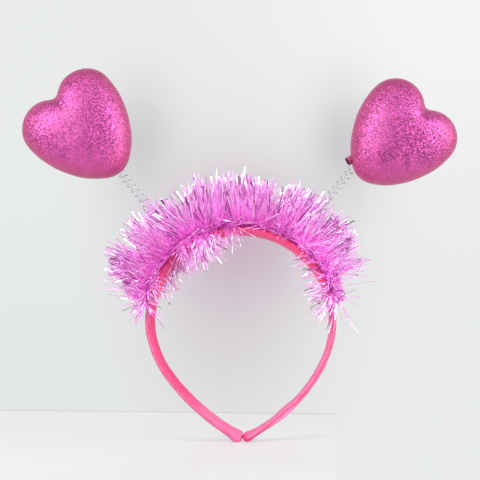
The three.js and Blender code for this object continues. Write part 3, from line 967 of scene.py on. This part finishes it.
def strip_points(spine, rng, width):
    """Corners of strips: by each spine, half the width to each side and half the thickness to each face."""
    count = len(spine)
    ahead = unit(np.gradient(spine, axis=1))
    any_way = unit(rng.normal(0, 1, (count, 1, 3)))
    across = unit(any_way - ahead * np.sum(any_way * ahead, axis=-1, keepdims=True))
    face = np.cross(ahead, across)
    whole_twist = rng.normal(0, STRIP_TWIST, (count, 1, 1)) * strip_share
    twist = whole_twist + np.cumsum(rng.normal(0, STRIP_TWIST_STEP, (count, STRIP_RINGS, 1)), axis=1)
    wide = (across * np.cos(twist) + face * np.sin(twist)) * width[:, None, None] / 2
    thin = (face * np.cos(twist) - across * np.sin(twist)) * STRIP_THICKNESS / 2
    return np.stack([spine + wide, spine + thin, spine - wide, spine - thin], axis=2)


def strip_faces(count):
    """Quads of strips: four sides between neighbouring rings, and one quad over each cut end."""
    ends = [[3, 2, 1, 0]], [np.arange(4) + 4 * (STRIP_RINGS - 1)]
    one = np.concatenate([ring_quads(STRIP_RINGS, 4), *ends])
    return (np.arange(count)[:, None, None] * STRIP_RINGS * 4 + one[None]).reshape(-1, 4)


def root_shade(points):
    """Painted shade by the roots at each point: the shade for its heading, fading with the distance from
    the cord.
    """
    away = points - CROWN_CENTRE
    heading = np.degrees(np.arctan2(away[..., 0], away[..., 2]))
    depth = np.abs(np.hypot(away[..., 0], away[..., 2]) - CORD_RISES[0])
    fade = np.clip(1 - depth / np.interp(heading, ROOT_HEADINGS, ROOT_DEPTHS), 0, 1)
    return np.interp(heading, ROOT_HEADINGS, ROOT_SHADES) * fade


def put_strips(name, spine, rng, width, tone):
    """Piece of many strips, with each point's tone, way to the cut end and painted root shade for the
    finish.
    """
    corners = strip_points(spine, rng, width)
    shape = corners.shape[:3]
    piece, _ = put_mesh(name, corners.reshape(-1, 3), strip_faces(len(spine)), [], False)
    paint_points(piece, "reach", np.broadcast_to(strip_share, shape))
    paint_points(piece, "root", root_shade(corners))
    paint_points(piece, "tone", np.broadcast_to(tone[:, None, None], shape))
    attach(piece, "band")
    print(name, len(spine), "strands,", triangle_count(piece), "triangles")
    return piece


def standing_spines(strands, rng):
    """Spines: root plus length times the way along the direction, with a bend that grows as its square."""
    root, ahead = strand_directions(strands)
    bend = rng.normal(0, STRIP_BEND, (len(root), 1, 3))
    line = ahead[:, None] * strip_share + bend * strip_share**2
    return root[:, None] + strands["length"][:, None, None] * line


rng = np.random.default_rng(21)
spines = standing_spines(standing, rng)
behind = standing["lean"] > 0
tinsel = []
for name, chosen in (("tinsel_front_strands", ~behind), ("tinsel_back_strands", behind)):
    width = rng.uniform(*STANDING_WIDTHS, int(chosen.sum()))
    tinsel.append(put_strips(name, spines[chosen], rng, width, standing["tone"][chosen]))
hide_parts("tinsel_garland")

# %% [markdown]
# Some strands slip over the front of the band and hang into the arch, most on the left shoulder and by the
# right end. At both ends of the cord a few splay down the legs. They are the same strips on other spines,
# in groups: where on the cord they start, how many, how long, and which way they fall.

# %% Tinsel: hanging and splayed strands
HANGING_COLUMNS = ("start", "end", "count", "length", "fall", "then", "scatter", "side", "fine")
HANGING_ROWS = (
    (-79, -60, 46, 11, 122, 140, 26, -1.0, 0.8),
    (-80, -60, 80, 8, 205, 190, 35, -1.0, 0.9),
    (-60, -36, 14, 8, 200, 180, 30, -1.0, 0.7),
    (-40, -20, 170, 22, 164, 158, 24, -1.0, 1.0),
    (-22, -3, 40, 17, 160, 168, 20, -1.0, 0.9),
    (6, 45, 9, 8, 190, 215, 20, -1.0, 0.6),
    (46, 64, 24, 17, 258, 262, 14, -1.0, 0.8),
    (64, 78, 80, 19, 255, 208, 18, -1.0, 0.8),
    (-60, -34, 140, 20, 158, 166, 20, 1.0, 1.0),
    (-34, -8, 40, 18, 166, 172, 20, 1.0, 1.0),
    (46, 76, 60, 16, 260, 222, 18, 1.0, 1.0),
    (-80, -77, 30, 14, 208, 196, 26, -1.0, 1.0),
    (-79, -72, 9, 30, 268, 280, 7, -1.0, 0.6),
    (-80, -78, 7, 22, 128, 140, 12, -1.0, 0.6),
    (76, 78, 9, 29, 148, 152, 6, -0.6, 0.6),
    (74, 78, 7, 24, 78, 84, 10, -0.6, 0.6),
    (56, 70, 14, 27, 68, 86, 8, -0.6, 0.7),
)
HANGING = [dict(zip(HANGING_COLUMNS, row)) for row in HANGING_ROWS]
HANGING_WIDTHS = (0.38, 0.7)
HANGING_TONES = (0, 0.68)
HANGING_BEND = 0.06
EDGE_START = 2.6
EDGE_PAST = (3.2, 5.6)


def hanging_spines(row, rng):
    """Spines: a line from the cord along the fall, pushed past the band's edge by a smooth step."""
    count = row["count"]
    along = rng.uniform(0, 1, count)
    heading = row["start"] + (row["end"] - row["start"]) * along
    fall = row["fall"] + (row["then"] - row["fall"]) * along + rng.normal(0, row["scatter"], count)
    length = row["length"] * rng.uniform(0.5, 1.15, count)[:, None, None]
    further = rng.uniform(*EDGE_PAST, count)[:, None, None] * smooth_step(0, 0.4, strip_share)
    bend = rng.normal(0, HANGING_BEND, (count, 1, 3))
    root = CROWN_CENTRE + outward(heading) * cord_rise(heading)
    line = outward(fall)[:, None] * strip_share + bend * strip_share**2
    return root[:, None] + length * line + SIDE * (row["side"] * (EDGE_START + further))


rng = np.random.default_rng(31)
hanging = np.concatenate([hanging_spines(row, rng) for row in HANGING])
fine = np.repeat([row["fine"] for row in HANGING], [row["count"] for row in HANGING])
width = fine * rng.uniform(*HANGING_WIDTHS, len(hanging))
tone = fine * rng.uniform(*HANGING_TONES, len(hanging))
tinsel.append(put_strips("tinsel_hanging_strands", hanging, rng, width, tone))

# %% [markdown]
# Close to the cord the film is crushed, and short broken ends stick out every way. Without them the cord
# would read as a clean rope, so a scatter of short strips is rooted all over its front, top and back.

# %% Tinsel: crushed film along the cord
CRUSHED_COUNT = 1900
CRUSHED_WIDTHS = (0.45, 0.8)
CRUSHED_TONES = (0.04, 0.9)
CRUSHED_LENGTHS = (4, 15)
CRUSHED_LEANS = (15, 112)
SHORTER_HEADINGS = (-80, -72, 58, 72)
SHORTER_SHARES = (0.7, 1, 1, 0.5)


def crushed_strands(count, rng):
    """Short strands: headings spread evenly, leans all round, slants thrown widely, shorter by the ends."""
    heading = rng.uniform(CORD["start"], CORD["end"], count)
    lean = rng.choice([-1, 1], count) * rng.uniform(*CRUSHED_LEANS, count)
    slant = np.clip(rng.normal(0, 45, count), -80, 80)
    length = rng.uniform(*CRUSHED_LENGTHS, count) * np.interp(heading, SHORTER_HEADINGS, SHORTER_SHARES)
    return {"heading": heading, "lean": lean, "slant": slant, "length": length}


rng = np.random.default_rng(41)
crushed = standing_spines(crushed_strands(CRUSHED_COUNT, rng), rng)
width = rng.uniform(*CRUSHED_WIDTHS, CRUSHED_COUNT)
tone = rng.uniform(*CRUSHED_TONES, CRUSHED_COUNT)
tinsel.append(put_strips("tinsel_crushed_film", crushed, rng, width, tone))

# %% [markdown]
# Under the strands runs the cord that grips them, two plies twisted together. It only shows as a dark line
# along the band, so it is a ring carried along the crown, pinched twice round and turned as it goes.

# %% Tinsel: twisted cord
CORD_RINGS = 620
CORD_SIDES = 24
CORD_TURNING = 26
CORD_PINCH = 0.1


def cord_rings():
    """Rings of the cord: an oval pinched by the cosine of twice the angle, the pinch turning on its way."""
    heading = np.linspace(CORD["start"], CORD["end"], CORD_RINGS)
    around = np.linspace(0, 2 * np.pi, CORD_SIDES, endpoint=False)[None, :]
    turned = around - np.radians(heading[:, None]) * CORD_TURNING
    pinch = 1 - CORD_PINCH + CORD_PINCH * np.cos(2 * turned)
    up = CORD["half_thickness"] * pinch * np.cos(around)
    back = CORD["half_width"] * pinch * np.sin(around)
    middle = CROWN_CENTRE + SIDE * back[..., None]
    return middle + outward(heading)[:, None] * (cord_rise(heading) + up)[..., None]


cord = put_rings("tinsel_cord", cord_rings())
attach(cord, "band")
print(cord.name, triangle_count(cord), "triangles")

# %% [markdown]
# The film is dyed violet-pink over bright metal, so it mirrors the room in that colour. Strands differ: a
# tone per strand runs from clouded violet to nearly white, and a few are dull with age. Painted shade
# darkens the film near the cord, and a painted glow, an emission standing in for light let through and
# bounced among the strips, fades from the roots to the cut ends. A thin clear coat adds the white glints
# that dyed metal alone would tint.

# %% Film finish
DULL_BELOW = 0.085


def make_film():
    """Metal film: violet to pale by the tone squared, dull below a low tone, darkened by the painted root
    shade.

    A painted glow, an emission standing in for light let through, fades from the root to the cut end."""
    material, tree, skin = new_finish("violet_film")
    tone = mask_of(tree, "tone")
    clouds = effect(tree, soft_clouds, object_place(tree), Clouds_per_metre=300,
                    Dark=paint(248, 160, 238), Light=paint(253, 214, 252))
    strand = blend_of(tree, sum_of(tree, "POWER", tone, 2.0), clouds["Colour"], paint(255, 230, 254))
    aged = blend_of(tree, sum_of(tree, "LESS_THAN", tone, DULL_BELOW), strand, paint(126, 68, 110))
    feed(tree, skin, {
        # Painted shade: the root mask darkens the film towards the cord.
        "Base Color": blend_of(tree, mask_of(tree, "root"), aged, paint(196, 24, 166)),
        # Painted glow: an emission fading from root to cut end stands in for light let through the film and
        # bounced among the strips.
        "Emission Color": blend_of(tree, mask_of(tree, "reach"), paint(240, 94, 218), paint(0, 0, 0)),
        "Emission Strength": 0.3,
        "Roughness": range_of(tree, tone, given=(0.24, 0.14)),
        "Metallic": 0.65,
        "Coat Weight": 0.6,
        "Coat Roughness": 0.12,
    })
    return material


def make_cord_film():
    """Film bound tight in the cord: the same dye, deeper, with flakes where folds catch the light, and a
    faint painted glow.
    """
    material, tree, skin = new_finish("bound_film")
    flakes = effect(tree, tilted_flakes, object_place(tree), Flakes_per_metre=700, Tilt=0.9,
                    Deep=paint(128, 24, 112), Bright=paint(200, 70, 178))
    feed(tree, skin, {
        "Base Color": flakes["Colour"],
        "Normal": flakes["Normal"],
        "Metallic": 0.3,
        "Roughness": 0.5,
        # Painted glow: a faint emission lifts the shade along the cord.
        "Emission Color": paint(206, 40, 170),
        "Emission Strength": 0.12,
    })
    return material


film = make_film()
for piece in tinsel:
    piece.data.materials.append(film)
cord.data.materials.append(make_cord_film())
print("finish:", film.name)

# %% [markdown]
# The stage is a pale board under the tips and a pale backdrop close behind. Both are boxes. The board's
# right side lies along the camera's line of sight, and its back edge runs a little askew.

# %% Stage
BOARD_LOW = (-0.36, -0.36, -0.1403)
BOARD_HIGH = (0.0617, 0.17, -0.1343)
BOARD_SKEW = -0.1
WALL_AWAY = 0.24
WALL_HALF = 0.5
WALL_THICKNESS = 0.002


def stage_box(name, low, high, splay=0.0, skew=0.0):
    """Box between two corners in metres, its right side splayed by the depth, its back side skewed."""
    corner = np.array([[x, y, z] for z in (0, 1) for y in (0, 1) for x in (0, 1)], float)
    points = np.array(low) + corner * (np.array(high) - np.array(low))
    points[:, 1] += corner[:, 1] * skew * points[:, 0]
    points[:, 0] += corner[:, 0] * splay * points[:, 1]
    quads = np.array([[0, 2, 3, 1], [4, 5, 7, 6], [0, 1, 5, 4], [2, 6, 7, 3], [0, 4, 6, 2], [1, 3, 7, 5]])
    piece, _ = put_mesh(name, points / MM, quads, [], False)
    return piece


board = stage_box("board", BOARD_LOW, BOARD_HIGH, BOARD_HIGH[0] / CAMERA_AWAY, BOARD_SKEW)
wall = stage_box("backdrop", (-WALL_HALF, WALL_AWAY, -WALL_HALF),
                 (WALL_HALF, WALL_AWAY + WALL_THICKNESS, WALL_HALF))
print("stage:", board.name, wall.name)

# %% [markdown]
# The backdrop glows by itself, which is steadier than lighting a wall. Broad soft spots on it stand for
# uneven light and for the faint shadow that the headband throws. It is clear from behind, so it hides
# nothing when the headband is seen from there. The board glows a little too, which keeps its shadows soft.

# %% Stage finishes
WALL_TONE = paint(233, 236, 235)
WALL_SPOTS = (
    {"X": 0.135, "Z": 0.15, "wide": 0.11, "high": 0.1, "colour": (244, 246, 246), "weight": 1.0},
    {"X": -0.15, "Z": -0.12, "wide": 0.11, "high": 0.12, "colour": (226, 231, 229), "weight": 1.0},
    {"X": -0.008, "Z": -0.035, "wide": 0.057, "high": 0.085, "colour": (213, 206, 211), "weight": 0.9},
    {"X": -0.002, "Z": 0.001, "wide": 0.05, "high": 0.039, "colour": (201, 174, 192), "weight": 0.9},
    {"X": -0.066, "Z": 0.06, "wide": 0.024, "high": 0.037, "colour": (203, 200, 204), "weight": 0.85},
    {"X": 0.067, "Z": 0.058, "wide": 0.023, "high": 0.037, "colour": (201, 198, 202), "weight": 0.85},
)
# Painted light and shadow: the board pales towards the back, where less lamp light reaches, and a painted
# shadow greys its back edge.
BOARD_PAINTED_LIGHT_AND_SHADOW = (
    {"near": -0.12, "far": 0.17, "colour": (173, 174, 173)},
    {"near": 0.158, "far": 0.168, "colour": (138, 138, 137)},
)


def spot_mask(tree, axes, spot):
    """Weight of a wall spot: a bell curve of the distance from its middle, given at the crown and spread to
    the wall."""
    spread = (WALL_AWAY + CAMERA_AWAY) / CAMERA_AWAY
    squares = []
    for axis, size in (("X", "wide"), ("Z", "high")):
        centre = VIEW_MIDDLE[axis] + (spot[axis] - VIEW_MIDDLE[axis]) * spread
        scaled = sum_of(tree, "DIVIDE", sum_of(tree, "SUBTRACT", axes[axis], centre), spot[size] * spread)
        squares.append(sum_of(tree, "MULTIPLY", scaled, scaled))
    bell = sum_of(tree, "EXPONENT", sum_of(tree, "MULTIPLY", sum_of(tree, "ADD", *squares), -1.0))
    return sum_of(tree, "MULTIPLY", bell, spot["weight"])


def make_wall_glow():
    """Glow of the backdrop: a pale tone mixed with the spots, clear where its face looks to the back."""
    material = bpy.data.materials.new("backdrop_glow")
    material.use_nodes = True
    tree = material.node_tree
    tree.nodes.clear()
    axes = axes_of(tree, object_place(tree))
    colour = WALL_TONE
    for spot in WALL_SPOTS:
        colour = blend_of(tree, spot_mask(tree, axes, spot), colour, paint(*spot["colour"]))
    glow = add_node(tree, "ShaderNodeEmission", {"Color": colour}).outputs["Emission"]
    clear = add_node(tree, "ShaderNodeBsdfTransparent").outputs["BSDF"]
    facing = axes_of(tree, add_node(tree, "ShaderNodeNewGeometry").outputs["Normal"])
    from_behind = sum_of(tree, "GREATER_THAN", facing["Y"], 0.5)
    both = add_node(tree, "ShaderNodeMixShader", {"Fac": from_behind, 1: glow, 2: clear})
    add_node(tree, "ShaderNodeOutputMaterial", {"Surface": both.outputs["Shader"]})
    return material


def make_board_paint():
    """Board: faint clouds in off-white, with painted light paling it towards the back and a painted shadow
    grey along its back edge.
    """
    material, tree, skin = new_finish("board_paint")
    where = object_place(tree)
    clouds = effect(tree, soft_clouds, where, Clouds_per_metre=9,
                    Dark=paint(162, 163, 162), Light=paint(167, 168, 167))
    axes = axes_of(tree, where)
    depth = sum_of(tree, "SUBTRACT", axes["Y"], sum_of(tree, "MULTIPLY", axes["X"], BOARD_SKEW))
    colour = clouds["Colour"]
    for tone in BOARD_PAINTED_LIGHT_AND_SHADOW:
        share = range_of(tree, depth, (tone["near"], tone["far"]))
        colour = blend_of(tree, share, colour, paint(*tone["colour"]))
    feed(tree, skin, {
        "Base Color": colour,
        "Roughness": 0.5,
        "Emission Color": paint(255, 255, 255),
        "Emission Strength": 0.3,
    })
    return material


wall.data.materials.append(make_wall_glow())
board.data.materials.append(make_board_paint())
print("finishes:", board.active_material.name, wall.active_material.name)

# %% [markdown]
# Two large soft boxes stand left and right and slightly in front, so the hearts are bright on both slopes
# and darker along the middle. A weak one above the camera fills the crown. They all face the crown.

# %% Lights
SOFT_BOXES = (
    {"name": "left_box", "at": (-0.66, -0.78, 0.38), "size": 0.8, "watts": 13.5},
    {"name": "right_box", "at": (1.0, -0.5, 0.32), "size": 0.8, "watts": 12.8},
    {"name": "front_box", "at": (0.0, -1.0, 1.1), "size": 0.9, "watts": 3.5},
)


def add_soft_box(row):
    """Square area light that faces the crown: its -Z axis is turned along the line from it to the crown."""
    data = bpy.data.lights.new(row["name"], "AREA")
    data.size = row["size"]
    data.energy = row["watts"]
    lamp = bpy.data.objects.new(row["name"], data)
    lamp.location = row["at"]
    lamp.rotation_euler = (-lamp.location).to_track_quat("-Z", "Y").to_euler()
    scene.collection.objects.link(lamp)
    return lamp


lamps = [add_soft_box(row) for row in SOFT_BOXES]
print("lights:", [lamp.name for lamp in lamps])

# %% [markdown]
# Film and glitter show what they mirror, so the world round them matters more than the lamps. It is pale
# all round and below, and greyer overhead. On the camera's side it is darker, because shiny things need
# something dark to mirror too, but only for rays that come off the headband: seen directly, it stays pale.

# %% World
WORLD_LEVEL = paint(226, 228, 228)
WORLD_ABOVE = paint(156, 158, 160)
WORLD_BELOW = paint(244, 245, 245)
WORLD_NEAR = paint(92, 93, 94)
BELOW_FROM = (-0.1, -0.6)
NEAR_FROM = (-0.7, -0.98)


def make_world():
    """World by direction: level tone to upper tone by height, a bright floor, a darker camera side."""
    world = bpy.data.worlds.new("tent")
    world.use_nodes = True
    tree = world.node_tree
    axes = axes_of(tree, add_node(tree, "ShaderNodeTexCoord").outputs["Generated"])
    tone = blend_of(tree, sum_of(tree, "ABSOLUTE", axes["Z"]), WORLD_LEVEL, WORLD_ABOVE)
    tone = blend_of(tree, range_of(tree, axes["Z"], BELOW_FROM, shape="SMOOTHSTEP"), tone, WORLD_BELOW)
    seen = add_node(tree, "ShaderNodeLightPath").outputs["Is Camera Ray"]
    near = range_of(tree, axes["Y"], NEAR_FROM, shape="SMOOTHSTEP")
    mirrored = sum_of(tree, "MULTIPLY", near, sum_of(tree, "SUBTRACT", 1.0, seen))
    tone = blend_of(tree, mirrored, tone, WORLD_NEAR)
    feed(tree, tree.nodes["Background"], {"Color": tone, "Strength": 1.0})
    return world


scene.world = make_world()
print("world:", scene.world.name)
